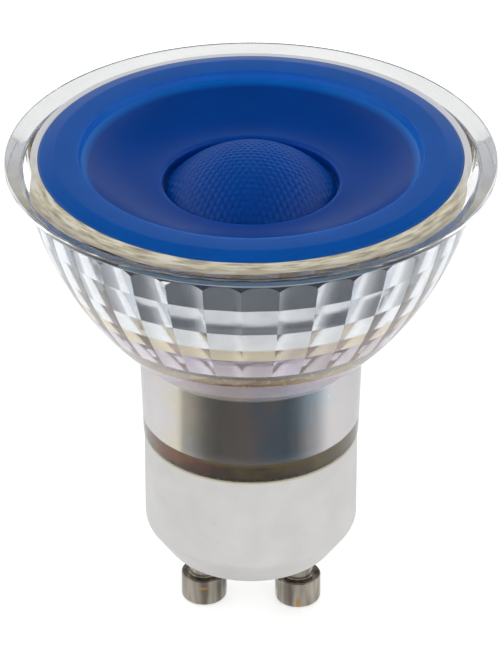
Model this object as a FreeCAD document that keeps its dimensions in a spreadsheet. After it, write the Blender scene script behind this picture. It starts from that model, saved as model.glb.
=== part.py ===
import FreeCAD, Part
import math
import os
from types import SimpleNamespace

import Sketcher

# Driving dimensions in millimetres, apart from counts and shares
DIMENSIONS = {
    # Contact pins, standing on their heads at height zero
    "pin_spacing": 10.0,
    "pin_reach": 7.5,
    "pin_head_d": 4.85,
    "pin_head_h": 3.2,
    "pin_head_edge": 0.4,
    "pin_shank_d": 3.2,
    "pin_shoulder": 0.35,
    "pin_rivet_w": 0.75,
    "pin_rivet_h": 0.7,
    "pin_bore_gap": 0.15,
    "pin_bore_depth": 4.0,
    "pin_hole_gap": 0.05,
    # White ceramic cap
    "cap_d": 22.26,
    "cap_bevel_w": 2.4,
    "cap_bevel_h": 3.4,
    "cap_h": 13.9,
    "cap_floor": 3.0,
    "cap_bevel_round": 1.4,
    "cap_foot_round": 1.3,
    "cap_top_round": 0.25,
    "spigot_wall": 1.4,
    "spigot_lead": 0.75,
    # Cement ring between spigot and neck
    "cement_w": 0.7,
    "cement_h": 1.85,
    "cement_gap": 0.04,
    # Glass neck, a little wider than the cap
    "neck_over": 0.12,
    "neck_flare": 0.35,
    "neck_wall": 1.25,
    "neck_h": 10.2,
    "neck_foot_round": 0.4,
    # Glass bowl, its profile an arc that ends in a flared rim
    "bowl_h": 20.2,
    "bowl_arc": 35.4,
    "bowl_wall": 1.6,
    "flare_w": 1.88,
    "flare_h": 1.1,
    "flare_round": 0.5,
    "rim_d": 50.0,
    "rim_h": 0.7,
    "rim_round": 0.25,
    # Mirror facets inside the bowl; row shares count from the bottom and the top row takes the rest
    "facet_count": 36,
    "facet_low_gap": 2.1,
    "facet_high_gap": 1.6,
    "facet_lip": 0.3,
    "row_share_a": 0.22,
    "row_share_b": 0.125,
    "row_share_c": 0.185,
    "row_share_d": 0.25,
    # Ledge in the bottom of the bowl that carries the heat sink
    "ledge_rise": 4.1,
    "ledge_wall": 1.4,
    "ledge_w": 1.0,
    # Heat sink plate with a skirt down the neck
    "plate_t": 1.2,
    "skirt_wall": 0.8,
    "skirt_h": 8.5,
    "skirt_gap": 0.3,
    "plate_bond_w": 0.6,
    "plate_bond_h": 1.6,
    "plate_bond_gap": 0.05,
    # Light source
    "led_board_d": 19.0,
    "led_board_t": 1.0,
    "led_size": 5.0,
    "led_t": 0.9,
    "led_wall": 0.6,
    "phosphor_t": 0.4,
    # Seat of the lens in the rim
    "rim_face_w": 2.8,
    "seat_depth": 1.0,
    "seat_w": 0.75,
    "bond_w": 0.6,
    "bond_t": 0.45,
    "bond_h": 1.1,
    "bond_gap": 0.04,
    # Blue lens, one moulding
    "lens_rise": 0.5,
    "lens_edge_round": 0.35,
    "lens_bevel_w": 1.65,
    "lens_bevel_h": 0.36,
    "lens_ring_w": 4.1,
    "lens_step": 0.8,
    "lens_draft": 0.3,
    "lens_wall": 1.5,
    "lens_shoulder_gap": 0.4,
    "lens_shoulder_h": 1.6,
    "dish_arc": 12.0,
    "well_d": 17.8,
    "lip_drop": 3.0,
    "lip_round": 0.6,
    "groove_w": 0.15,
    "groove_depth": 1.4,
    "dome_drop": 0.16,
    "flank_arc": 24.0,
    "flank_foot_w": 1.0,
    "cavity_d": 6.8,
    "cavity_depth": 3.0,
    "cavity_arc": 6.0,
    "lens_led_gap": 0.3,
    # Driver board, upright behind the pins
    "board_gap": 0.32,
    "board_h": 18.0,
    "board_t": 1.0,
    "board_y": 2.6,
    # Parts on the driver board
    "bulk_d": 6.0,
    "bulk_h": 8.0,
    "bulk_crimp": 0.35,
    "choke_d": 5.0,
    "choke_h": 6.0,
    "choke_flange": 0.9,
    "choke_waist": 0.5,
    "parts_x": 3.3,
    "parts_gap": 0.4,
    "bulk_gap": 0.8,
    "film_w": 5.0,
    "film_h": 4.5,
    "film_t": 5.0,
    "film_round": 0.5,
    "bridge_w": 4.7,
    "bridge_h": 3.9,
    "bridge_t": 2.2,
    "bridge_up": 4.5,
    "chip_w": 4.9,
    "chip_h": 3.9,
    "chip_t": 1.5,
    "chip_space": 0.6,
    "chip_edge": 0.25,
    "leg_count": 4,
    "leg_pitch": 1.27,
    "leg_w": 0.42,
    "leg_t": 0.25,
    "leg_reach": 1.0,
    "fuse_d": 2.2,
    "fuse_h": 6.0,
    "fuse_cap": 1.3,
    "fuse_waist": 0.15,
    "fuse_gap": 0.6,
    # Insulated leads
    "lead_d": 0.9,
    "lead_bend": 1.2,
    "lead_run": 0.4,
    "lead_stub": 0.6,
    "led_lead_inset": 0.7,
    "led_lead_down": 1.4,
    "led_lead_gap": 0.2,
}

ROW_SHARES = ("row_share_a", "row_share_b", "row_share_c", "row_share_d")
EDGE_MATCH = 0.001

doc = FreeCAD.newDocument("spotlight_bulb")
sheet = doc.addObject("Spreadsheet::Sheet", "Sizes")
for row, (name, value) in enumerate(DIMENSIONS.items(), start=1):
    sheet.set(f"A{row}", name.replace("_", " "))
    sheet.set(f"B{row}", str(value))
    sheet.setAlias(f"B{row}", name)
doc.recompute()


class Size:
    """A length that carries its number and the sheet formula behind it."""

    def __init__(self, number, formula):
        self.number = number
        self.formula = formula

    def __add__(self, other):
        other = as_size(other)
        return Size(self.number + other.number, f"({self.formula} + {other.formula})")

    def __sub__(self, other):
        other = as_size(other)
        return Size(self.number - other.number, f"({self.formula} - {other.formula})")

    def __mul__(self, other):
        other = as_size(other)
        return Size(self.number * other.number, f"({self.formula} * {other.formula})")

    def __truediv__(self, other):
        other = as_size(other)
        return Size(self.number / other.number, f"({self.formula} / {other.formula})")


def as_size(item):
    """A plain number as a size, a size as itself."""
    return item if isinstance(item, Size) else Size(float(item), str(float(item)))


def root(size):
    """Square root of a size."""
    return Size(math.sqrt(size.number), f"sqrt({size.formula})")


def half(size):
    return size / 2


def bind(item, path, size):
    """Tie one property of an object to its sheet formula."""
    item.setExpression(path, size.formula)


mm = SimpleNamespace(**{name: Size(value, f"Sizes.{name}") for name, value in DIMENSIONS.items()})
axis = as_size(0)

# Heights above the pin ends, each from the piece below it
z_cap = mm.pin_reach
z_floor = z_cap + mm.cap_floor
z_neck = z_cap + mm.cap_h
z_spigot = z_neck + mm.cement_h + mm.spigot_lead
z_bowl = z_neck + mm.neck_h
z_ledge = z_bowl + mm.ledge_rise
z_plate = z_ledge + mm.plate_t
z_led_board = z_plate + mm.led_board_t
z_led = z_led_board + mm.led_t
z_flare = z_bowl + mm.bowl_h
z_rim = z_flare + mm.flare_h
z_rim_top = z_rim + mm.rim_h
z_seat = z_rim_top - mm.seat_depth
z_bond = z_seat + mm.bond_t
z_ring = z_rim_top + mm.lens_rise
z_facet_low = z_ledge + mm.facet_low_gap
z_facet_high = z_seat - mm.facet_high_gap

# Radii of the cap and neck, each from the piece it fits
cap_r = half(mm.cap_d)
neck_foot_r = cap_r + mm.neck_over
neck_top_r = neck_foot_r + mm.neck_flare
neck_bore_r = neck_foot_r - mm.neck_wall
spigot_r = neck_bore_r - mm.cement_w
cap_bore_r = spigot_r - mm.spigot_wall

# Radii of the rim and lens, from the rim inwards
rim_r = half(mm.rim_d)
bowl_r = rim_r - mm.flare_w
seat_r = rim_r - mm.rim_face_w
mouth_r = seat_r - mm.seat_w
lens_r = seat_r - mm.bond_w


def bowl_radius(height, wall):
    """Radius of the bowl's outside arc, moved in by a wall, at one height."""
    run = bowl_r - neck_top_r
    chord = root(run * run + mm.bowl_h * mm.bowl_h)
    offset = root(mm.bowl_arc * mm.bowl_arc - chord * chord / 4)
    centre_r = (bowl_r + neck_top_r) / 2 - offset * mm.bowl_h / chord
    centre_z = z_bowl + half(mm.bowl_h) + offset * run / chord
    reach = mm.bowl_arc - wall
    fall = centre_z - height
    return centre_r + root(reach * reach - fall * fall)


# Radii of the ledge and of the plate it carries, inside the bowl
ledge_out_r = bowl_radius(z_ledge, mm.ledge_wall)
ledge_in_r = ledge_out_r - mm.ledge_w
plate_r = ledge_out_r - mm.plate_bond_w

# Places of the driver board, its parts and its leads
board_back = mm.board_y + mm.board_t
board_half_w = root(cap_bore_r * cap_bore_r - board_back * board_back) - mm.board_gap
fuse_up = half(mm.fuse_d) + mm.fuse_gap
parts_up = fuse_up + half(mm.fuse_d) + mm.parts_gap + half(mm.choke_d)
bulk_up = parts_up + half(mm.choke_d) + mm.bulk_gap + half(mm.bulk_d)
chip_up = mm.bridge_up + half(mm.bridge_h) + mm.leg_reach * 2 + mm.chip_space + half(mm.chip_h)
led_lead_x = board_half_w - mm.led_lead_inset
led_lead_y = mm.board_y - mm.lead_bend - mm.lead_run
z_pin_top = z_floor + mm.pin_rivet_h
tenon_r = half(mm.pin_shank_d) - mm.pin_shoulder


def origin_plane(body, role):
    """One of a body's own origin planes."""
    return next(feature for feature in body.Origin.OriginFeatures if feature.Role == role)


def new_body(label):
    body = doc.addObject("PartDesign::Body", label)
    body.Label = label
    return body


def new_sketch(body, name, role):
    """An empty sketch on one of the body's origin planes."""
    sketch = body.newObject("Sketcher::SketchObject", name)
    sketch.AttachmentSupport = [(origin_plane(body, role), "")]
    sketch.MapMode = "FlatFace"
    return sketch


def hold(sketch, kind, *places, size):
    """Add a sized constraint and tie it to its sheet formula."""
    number = sketch.addConstraint(Sketcher.Constraint(kind, *places, size.number))
    sketch.setExpression(f"Constraints[{number}]", size.formula)


def hold_point(sketch, edge, end, across, up):
    """Fix one end of an edge at a distance across and up from the sketch origin."""
    if across is axis:
        sketch.addConstraint(Sketcher.Constraint("PointOnObject", edge, end, -2))
    else:
        hold(sketch, "DistanceX", -1, 1, edge, end, size=across)
    hold(sketch, "DistanceY", -1, 1, edge, end, size=up)


def bowed_edge(start, end, radius):
    """Arc between two points; a positive radius bows to the right of the way it runs."""
    chord = end - start
    middle = (start + end) / 2
    left = FreeCAD.Vector(-chord.y, chord.x, 0).normalize()
    rise = math.sqrt(radius * radius - chord.Length * chord.Length / 4)
    centre = middle + left * math.copysign(rise, radius)
    circle = Part.Circle(centre, FreeCAD.Vector(0, 0, 1), abs(radius))
    first, last = (start, end) if radius > 0 else (end, start)
    return Part.ArcOfCircle(circle, circle.parameter(first), circle.parameter(last))


def draw_path(sketch, corners, closed):
    """Edges through (across, up) corners; a third item (radius, side) bows the edge that follows."""
    points = [FreeCAD.Vector(corner[0].number, corner[1].number, 0) for corner in corners]
    count = len(corners) if closed else len(corners) - 1
    ends = []
    for edge in range(count):
        start = points[edge]
        stop = points[(edge + 1) % len(points)]
        if len(corners[edge]) == 2:
            sketch.addGeometry(Part.LineSegment(start, stop))
            ends.append((1, 2))
        else:
            radius, side = corners[edge][2]
            sketch.addGeometry(bowed_edge(start, stop, radius.number * side))
            ends.append((1, 2) if side > 0 else (2, 1))
            hold(sketch, "Radius", edge, size=radius)
    for edge in range(count):
        following = (edge + 1) % count
        if closed or following:
            joint = (edge, ends[edge][1], following, ends[following][0])
            sketch.addConstraint(Sketcher.Constraint("Coincident", *joint))
        hold_point(sketch, edge, ends[edge][0], *corners[edge][:2])
    if not closed:
        hold_point(sketch, count - 1, ends[-1][1], *corners[-1][:2])


def turn(body, corners):
    """Turn a closed outline of (radius, height) corners about the lamp axis."""
    sketch = new_sketch(body, body.Label + "_outline", "XZ_Plane")
    draw_path(sketch, corners, closed=True)
    feature = body.newObject("PartDesign::Revolution", body.Label + "_turned")
    feature.Profile = sketch
    feature.ReferenceAxis = (sketch, ["V_Axis"])
    feature.Angle = 360
    doc.recompute()
    return feature


def turned_piece(label, corners):
    body = new_body(label)
    turn(body, corners)
    return body


def round_edges(body, radius, places):
    """Fillet the round edges of the body at the given (radius, height) places."""
    base = body.Tip
    names = []
    for number, edge in enumerate(base.Shape.Edges, start=1):
        if edge.Degenerated or not isinstance(edge.Curve, Part.Circle):
            continue
        for across, up in places:
            off_radius = abs(edge.Curve.Radius - across.number)
            off_height = abs(edge.Curve.Center.z - up.number)
            if max(off_radius, off_height) < EDGE_MATCH:
                names.append(f"Edge{number}")
    if not names:
        raise RuntimeError(f"no edge to round on {body.Label}")
    fillet = body.newObject("PartDesign::Fillet", body.Label + "_round")
    fillet.Base = (base, names)
    bind(fillet, "Radius", radius)
    doc.recompute()


def drill_pair(body, radius, x, y):
    """Two upright through holes, at x and at minus x."""
    before = body.Tip.Shape.Volume
    sketch = new_sketch(body, body.Label + "_hole", "XY_Plane")
    centre = FreeCAD.Vector(x.number, y.number, 0)
    sketch.addGeometry(Part.Circle(centre, FreeCAD.Vector(0, 0, 1), radius.number))
    hold(sketch, "Radius", 0, size=radius)
    hold(sketch, "DistanceX", -1, 1, 0, 3, size=x)
    if y is axis:
        sketch.addConstraint(Sketcher.Constraint("PointOnObject", 0, 3, -1))
    else:
        hold(sketch, "DistanceY", -1, 1, 0, 3, size=y)
    pocket = body.newObject("PartDesign::Pocket", body.Label + "_bore")
    pocket.Profile = sketch
    pocket.Type = "ThroughAll"
    pocket.Reversed = True
    mirror = body.newObject("PartDesign::Mirrored", body.Label + "_bores")
    mirror.Originals = [pocket]
    mirror.MirrorPlane = (origin_plane(body, "YZ_Plane"), [""])
    body.Tip = mirror
    doc.recompute()
    if body.Tip.Shape.Volume >= before:
        raise RuntimeError(f"holes in {body.Label} cut nothing")


def block(label, width, depth, height, corner):
    """A box with its low corner at (x, y, z)."""
    box = doc.addObject("Part::Box", label)
    box.Label = label
    for path, size in zip(("Length", "Width", "Height"), (width, depth, height)):
        bind(box, path, size)
    place(box, *corner)
    return box


def place(item, x, y, z):
    """Bind the place of an object."""
    for path, size in zip(("x", "y", "z"), (x, y, z)):
        bind(item, f"Placement.Base.{path}", size)


def stand_on_board(item, x, up):
    """Turn an upright piece to stand on the front face of the driver board."""
    item.Placement = FreeCAD.Placement(FreeCAD.Vector(), FreeCAD.Rotation(FreeCAD.Vector(1, 0, 0), 90))
    place(item, x, mm.board_y, z_floor + up)


def contact_pins():
    """Turned headed pins, riveted over on the inside of the cap floor and bored for their leads."""
    head_r = half(mm.pin_head_d)
    shank_r = half(mm.pin_shank_d)
    rivet_r = tenon_r + mm.pin_rivet_w
    bore_r = half(mm.lead_d) + mm.pin_bore_gap
    corners = [
        (axis, axis),
        (head_r - mm.pin_head_edge, axis),
        (head_r, mm.pin_head_edge),
        (head_r, mm.pin_head_h - half(mm.pin_head_edge)),
        (head_r - half(mm.pin_head_edge), mm.pin_head_h),
        (shank_r, mm.pin_head_h),
        (shank_r, z_cap),
        (tenon_r, z_cap),
        (tenon_r, z_floor),
        (rivet_r, z_floor),
        (rivet_r, z_pin_top),
        (bore_r, z_pin_top),
        (bore_r, z_pin_top - mm.pin_bore_depth),
        (axis, z_pin_top - mm.pin_bore_depth),
    ]
    pins = []
    for side, sign in (("left", -1), ("right", 1)):
        pin = turned_piece(f"contact_pin_{side}", corners)
        bind(pin, "Placement.Base.x", half(mm.pin_spacing) * sign)
        pins.append(pin)
    return pins


def base_cap():
    """Ceramic cap: bevelled foot, floor with the pin holes, and a spigot that enters the neck."""
    foot_r = cap_r - mm.cap_bevel_w
    z_bevel = z_cap + mm.cap_bevel_h
    body = turned_piece("base_cap", [
        (axis, z_cap),
        (foot_r, z_cap),
        (cap_r, z_bevel),
        (cap_r, z_neck),
        (spigot_r, z_neck),
        (spigot_r, z_spigot),
        (cap_bore_r, z_spigot),
        (cap_bore_r, z_floor),
        (axis, z_floor),
    ])
    round_edges(body, mm.cap_bevel_round, [(cap_r, z_bevel)])
    round_edges(body, mm.cap_foot_round, [(foot_r, z_cap)])
    round_edges(body, mm.cap_top_round, [(cap_r, z_neck)])
    drill_pair(body, tenon_r + mm.pin_hole_gap, half(mm.pin_spacing), axis)
    return body


def ring(label, inner, outer, low, high):
    """A plain ring of square section."""
    return turned_piece(label, [(inner, low), (outer, low), (outer, high), (inner, high)])


def neck_cement():
    """Brown cement in the gap between the spigot and the neck."""
    inner = spigot_r + mm.cement_gap
    outer = neck_bore_r - mm.cement_gap
    return ring("neck_cement", inner, outer, z_neck, z_neck + mm.cement_h)


def facet_void():
    """Hollow of the bowl: flat facets between regular polygons, one polygon for each row line."""
    height = z_facet_low
    lines = [height]
    for share in ROW_SHARES:
        height = height + (z_facet_high - z_facet_low) * getattr(mm, share)
        lines.append(height)
    lines.append(z_facet_high)
    sections = []
    for number, line in enumerate(lines, start=1):
        polygon = doc.addObject("Part::RegularPolygon", f"facet_line_{number}")
        bind(polygon, "Polygon", mm.facet_count)
        bind(polygon, "Circumradius", bowl_radius(line, mm.bowl_wall))
        place(polygon, axis, axis, line)
        sections.append(polygon)
    void = doc.addObject("Part::Loft", "facet_void")
    void.Sections = sections
    void.Solid = True
    void.Ruled = True
    return void


def glass_reflector():
    """Pressed glass: neck, bowl and flared rim in one, with the facets cut from its inside."""
    inside_r = bowl_radius(z_facet_low, mm.bowl_wall) - mm.facet_lip
    blank = turned_piece("glass_blank", [
        (neck_bore_r, z_neck),
        (neck_foot_r, z_neck),
        (neck_top_r, z_bowl, (mm.bowl_arc, 1)),
        (bowl_r, z_flare),
        (rim_r, z_rim),
        (rim_r, z_rim_top),
        (seat_r, z_rim_top),
        (seat_r, z_seat),
        (mouth_r, z_seat),
        (mouth_r, z_facet_high),
        (inside_r, z_facet_high),
        (inside_r, z_facet_low),
        (ledge_out_r, z_ledge),
        (ledge_in_r, z_ledge),
        (neck_bore_r, z_bowl),
    ])
    round_edges(blank, mm.neck_foot_round, [(neck_foot_r, z_neck)])
    round_edges(blank, mm.flare_round, [(bowl_r, z_flare)])
    round_edges(blank, mm.rim_round, [(rim_r, z_rim), (rim_r, z_rim_top)])
    glass = doc.addObject("Part::Cut", "glass_reflector")
    glass.Label = "glass_reflector"
    glass.Base = blank
    glass.Tool = facet_void()
    doc.recompute()
    if glass.Shape.Volume >= blank.Shape.Volume:
        raise RuntimeError("the facets cut nothing")
    return glass


def heat_sink():
    """Pressed aluminium plate on the ledge of the bowl, its skirt hanging down the neck."""
    skirt_r = neck_bore_r - mm.skirt_gap
    inner_r = skirt_r - mm.skirt_wall
    body = turned_piece("heat_sink", [
        (axis, z_ledge),
        (inner_r, z_ledge),
        (inner_r, z_ledge - mm.skirt_h),
        (skirt_r, z_ledge - mm.skirt_h),
        (skirt_r, z_ledge),
        (plate_r, z_ledge),
        (plate_r, z_plate),
        (axis, z_plate),
    ])
    drill_pair(body, half(mm.lead_d) + mm.led_lead_gap, led_lead_x, led_lead_y)
    return body


def plate_bond():
    """Amber silicone bead around the edge of the heat sink plate."""
    inner = plate_r + mm.plate_bond_gap
    outer = ledge_out_r - mm.plate_bond_gap
    return ring("plate_bond", inner, outer, z_ledge, z_ledge + mm.plate_bond_h)


def led_board():
    """Round board on the heat sink plate, drilled for the two leads."""
    body = turned_piece("led_board", [
        (axis, z_plate),
        (half(mm.led_board_d), z_plate),
        (half(mm.led_board_d), z_led_board),
        (axis, z_led_board),
    ])
    drill_pair(body, half(mm.lead_d) + mm.led_lead_gap, led_lead_x, led_lead_y)
    return body


def light_source():
    """Square package on the board, with a round pocket that the phosphor fills."""
    corner = (half(mm.led_size) * -1, half(mm.led_size) * -1, z_led_board)
    box = block("led_box", mm.led_size, mm.led_size, mm.led_t, corner)
    pieces = []
    for label in ("led_pocket", "led_phosphor"):
        disc = doc.addObject("Part::Cylinder", label)
        disc.Label = label
        bind(disc, "Radius", half(mm.led_size) - mm.led_wall)
        bind(disc, "Height", mm.phosphor_t)
        place(disc, axis, axis, z_led - mm.phosphor_t)
        pieces.append(disc)
    package = doc.addObject("Part::Cut", "led_package")
    package.Label = "led_package"
    package.Base = box
    package.Tool = pieces[0]
    return [package, pieces[1]]


def front_lens():
    """Blue moulding: bevelled ring, dish, well with a dome, and a solid collimator over the light source."""
    ring_r = lens_r - mm.lens_ring_w
    shoulder_r = mouth_r - mm.lens_shoulder_gap
    well_r = half(mm.well_d)
    dome_r = well_r - mm.groove_w
    cavity_r = half(mm.cavity_d)
    flank_r = well_r + mm.lens_wall
    z_bevel = z_ring - mm.lens_bevel_h
    z_step = z_ring - mm.lens_step
    z_lip = z_ring - mm.lip_drop
    z_groove = z_lip - mm.groove_depth
    z_dome = z_ring - mm.dome_drop
    dome_h = z_dome - z_groove
    dome_arc = (dome_r * dome_r + dome_h * dome_h) / dome_h / 2
    z_shoulder = z_bond - mm.lens_shoulder_h
    z_low = z_led + mm.lens_led_gap
    z_cavity = z_low + mm.cavity_depth
    cavity_sag = mm.cavity_arc - root(mm.cavity_arc * mm.cavity_arc - cavity_r * cavity_r)
    body = turned_piece("front_lens", [
        (lens_r, z_bond),
        (lens_r, z_bevel),
        (lens_r - mm.lens_bevel_w, z_ring),
        (ring_r, z_ring),
        (ring_r - mm.lens_draft, z_step, (mm.dish_arc, -1)),
        (well_r, z_lip),
        (well_r, z_groove),
        (dome_r, z_groove, (dome_arc, 1)),
        (axis, z_dome),
        (axis, z_cavity - cavity_sag, (mm.cavity_arc, 1)),
        (cavity_r, z_cavity),
        (cavity_r, z_low),
        (cavity_r + mm.flank_foot_w, z_low, (mm.flank_arc, 1)),
        (flank_r, z_lip - mm.lens_wall, (mm.dish_arc + mm.lens_wall, 1)),
        (ring_r + mm.lens_draft, z_shoulder),
        (shoulder_r, z_shoulder),
        (shoulder_r, z_bond),
    ])
    round_edges(body, mm.lens_edge_round, [(lens_r, z_bevel)])
    round_edges(body, mm.lip_round, [(well_r, z_lip)])
    return body


def lens_bond():
    """Pale silicone under and around the edge of the lens."""
    lens_side = lens_r + mm.bond_gap
    seat_side = seat_r - mm.bond_gap
    inner = mouth_r + mm.bond_gap
    return turned_piece("lens_bond", [
        (inner, z_seat),
        (seat_side, z_seat),
        (seat_side, z_seat + mm.bond_h),
        (lens_side, z_seat + mm.bond_h),
        (lens_side, z_bond),
        (inner, z_bond),
    ])


def driver_board():
    """Upright circuit board that stands on the floor of the cap."""
    corner = (board_half_w * -1, mm.board_y, z_floor)
    return block("driver_board", board_half_w * 2, mm.board_t, mm.board_h, corner)


def bulk_capacitor():
    """Can with a crimped groove, standing on the front of the board."""
    can_r = half(mm.bulk_d)
    crimp = mm.bulk_crimp
    body = turned_piece("bulk_capacitor", [
        (axis, axis),
        (can_r, axis),
        (can_r, crimp * 2),
        (can_r - crimp, crimp * 3),
        (can_r, crimp * 4),
        (can_r, mm.bulk_h - crimp),
        (can_r - crimp, mm.bulk_h),
        (axis, mm.bulk_h),
    ])
    stand_on_board(body, axis, bulk_up)
    return body


def choke():
    """Drum core with its winding a little inside the flanges."""
    drum_r = half(mm.choke_d)
    wound_r = drum_r - mm.choke_waist
    body = turned_piece("choke", [
        (axis, axis),
        (drum_r, axis),
        (drum_r, mm.choke_flange),
        (wound_r, mm.choke_flange),
        (wound_r, mm.choke_h - mm.choke_flange),
        (drum_r, mm.choke_h - mm.choke_flange),
        (drum_r, mm.choke_h),
        (axis, mm.choke_h),
    ])
    stand_on_board(body, mm.parts_x, parts_up)
    return body


def fusible_resistor():
    """Barrel with two end caps, standing on the front of the board."""
    cap_r = half(mm.fuse_d)
    barrel_r = cap_r - mm.fuse_waist
    body = turned_piece("fusible_resistor", [
        (axis, axis),
        (cap_r, axis),
        (cap_r, mm.fuse_cap),
        (barrel_r, mm.fuse_cap),
        (barrel_r, mm.fuse_h - mm.fuse_cap),
        (cap_r, mm.fuse_h - mm.fuse_cap),
        (cap_r, mm.fuse_h),
        (axis, mm.fuse_h),
    ])
    stand_on_board(body, axis, fuse_up)
    return body


def draw_rectangle(sketch, width, depth):
    """A rectangle with its low corner on the sketch origin."""
    draw_path(sketch, [(axis, axis), (width, axis), (width, depth), (axis, depth)], closed=True)


def pad(body, name, width, depth, height):
    """Pad a rectangle that starts at the body's origin."""
    sketch = new_sketch(body, name + "_outline", "XY_Plane")
    draw_rectangle(sketch, width, depth)
    feature = body.newObject("PartDesign::Pad", name)
    feature.Profile = sketch
    bind(feature, "Length", height)
    doc.recompute()
    return feature


def film_capacitor():
    """Dipped box with all its edges rounded but those on the board."""
    body = new_body("film_capacitor")
    feature = pad(body, "film_block", mm.film_w, mm.film_h, mm.film_t)
    free = [f"Edge{number}" for number, edge in enumerate(feature.Shape.Edges, start=1)
            if edge.CenterOfMass.z > EDGE_MATCH]
    fillet = body.newObject("PartDesign::Fillet", "film_round")
    fillet.Base = (feature, free)
    bind(fillet, "Radius", mm.film_round)
    stand_on_board(body, mm.parts_x * -1 - half(mm.film_w), parts_up - half(mm.film_h))
    return body


def legged_chip(label, width, height, thickness, up):
    """Moulded chip on the back of the board, a row of flat legs across under its body."""
    body = new_body(label)
    feature = pad(body, label + "_block", width, height, thickness)
    top = [f"Edge{number}" for number, edge in enumerate(feature.Shape.Edges, start=1)
           if edge.CenterOfMass.z > thickness.number - EDGE_MATCH]
    chamfer = body.newObject("PartDesign::Chamfer", label + "_edge")
    chamfer.Base = (feature, top)
    bind(chamfer, "Size", mm.chip_edge)
    sketch = new_sketch(body, label + "_leg_outline", "XY_Plane")
    row = mm.leg_pitch * (mm.leg_count - 1)
    low = (width - row) / 2 - half(mm.leg_w)
    draw_path(sketch, [
        (low, mm.leg_reach * -1),
        (low + mm.leg_w, mm.leg_reach * -1),
        (low + mm.leg_w, height + mm.leg_reach),
        (low, height + mm.leg_reach),
    ], closed=True)
    leg = body.newObject("PartDesign::Pad", label + "_leg")
    leg.Profile = sketch
    bind(leg, "Length", mm.leg_t)
    legs = body.newObject("PartDesign::LinearPattern", label + "_legs")
    legs.Originals = [leg]
    legs.Direction = (sketch, ["H_Axis"])
    bind(legs, "Length", row)
    bind(legs, "Occurrences", mm.leg_count)
    body.Tip = legs
    body.Placement = FreeCAD.Placement(FreeCAD.Vector(), FreeCAD.Rotation(FreeCAD.Vector(1, 0, 0), -90))
    place(body, half(width) * -1, board_back, z_floor + up + half(height))
    return body


def bent_lead(label, x, y, start, turn_height, side):
    """Round lead: an upright run from its start, one bend, then level to the driver board."""
    body = new_body(label)
    path = new_sketch(body, label + "_path", "YZ_Plane")
    draw_path(path, [
        (axis, start),
        (axis, turn_height - mm.lead_bend * side, (mm.lead_bend, -side)),
        (mm.lead_bend, turn_height),
        (mm.board_y - y, turn_height),
    ], closed=False)
    section = new_sketch(body, label + "_section", "XY_Plane")
    section.addGeometry(Part.Circle(FreeCAD.Vector(), FreeCAD.Vector(0, 0, 1), half(mm.lead_d).number))
    section.addConstraint(Sketcher.Constraint("Coincident", 0, 3, -1, 1))
    hold(section, "Radius", 0, size=half(mm.lead_d))
    bind(section, "AttachmentOffset.Base.z", start)
    doc.recompute()
    pipe = body.newObject("PartDesign::AdditivePipe", label + "_wire")
    pipe.Profile = section
    pipe.Spine = (path, ["Edge1", "Edge2", "Edge3"])
    place(body, x, y, axis)
    return body


def leads():
    """Mains leads out of the pin bores, and LED leads down from the LED board."""
    pieces = []
    pin_bore_end = z_pin_top - mm.pin_bore_depth
    for side, sign in (("left", -1), ("right", 1)):
        x = half(mm.pin_spacing) * sign
        pieces.append(bent_lead(f"mains_lead_{side}", x, axis, pin_bore_end, z_pin_top + mm.lead_bend, 1))
    z_joint = z_floor + mm.board_h - mm.led_lead_down
    for pole, sign in (("negative", -1), ("positive", 1)):
        x = led_lead_x * sign
        start = z_led_board + mm.lead_stub
        pieces.append(bent_lead(f"led_lead_{pole}", x, led_lead_y, start, z_joint, -1))
    return pieces


pieces = [
    *contact_pins(),
    base_cap(),
    neck_cement(),
    glass_reflector(),
    heat_sink(),
    plate_bond(),
    led_board(),
    *light_source(),
    front_lens(),
    lens_bond(),
    driver_board(),
    bulk_capacitor(),
    choke(),
    fusible_resistor(),
    film_capacitor(),
    legged_chip("bridge_rectifier", mm.bridge_w, mm.bridge_h, mm.bridge_t, mm.bridge_up),
    legged_chip("driver_chip", mm.chip_w, mm.chip_h, mm.chip_t, chip_up),
    *leads(),
]
doc.recompute()

for item in doc.Objects:
    if {"Invalid", "Error"} & set(item.State):
        raise RuntimeError(f"{item.Label} failed: {item.State}")
for piece in pieces:
    if piece.Shape.isNull() or not piece.Shape.isValid():
        raise RuntimeError(f"{piece.Label} has no valid shape")

os.makedirs("parts", exist_ok=True)
for piece in pieces:
    piece.Shape.exportStep(f"parts/{piece.Label}.step")
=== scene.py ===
import bpy
import numpy as np
from mathutils import Euler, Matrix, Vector


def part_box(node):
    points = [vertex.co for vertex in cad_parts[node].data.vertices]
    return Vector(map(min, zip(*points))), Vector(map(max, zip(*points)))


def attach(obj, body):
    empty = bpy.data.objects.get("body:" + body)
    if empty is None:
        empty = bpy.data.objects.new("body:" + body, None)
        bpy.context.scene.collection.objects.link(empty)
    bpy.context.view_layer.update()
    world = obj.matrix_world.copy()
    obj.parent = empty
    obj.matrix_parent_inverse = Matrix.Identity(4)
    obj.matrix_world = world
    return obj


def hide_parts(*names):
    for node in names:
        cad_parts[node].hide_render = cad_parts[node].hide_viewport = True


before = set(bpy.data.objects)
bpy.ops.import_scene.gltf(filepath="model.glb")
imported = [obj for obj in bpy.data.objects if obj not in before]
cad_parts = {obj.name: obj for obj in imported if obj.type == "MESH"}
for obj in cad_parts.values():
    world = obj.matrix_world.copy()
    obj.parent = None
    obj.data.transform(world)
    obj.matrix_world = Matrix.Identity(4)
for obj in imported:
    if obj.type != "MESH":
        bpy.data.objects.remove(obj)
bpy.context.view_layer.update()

# Contact pins: two studs turned from brass bar and plated in satin nickel, each with a wide head.
# They are riveted over inside the floor of the cap, and the heads hook into the holder.
MM = 0.001
SHARP_ANGLE = 40
PIN_HEAD_H = 3.2
PIN_HEAD_FOOT_ROUND = 0.55
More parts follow.
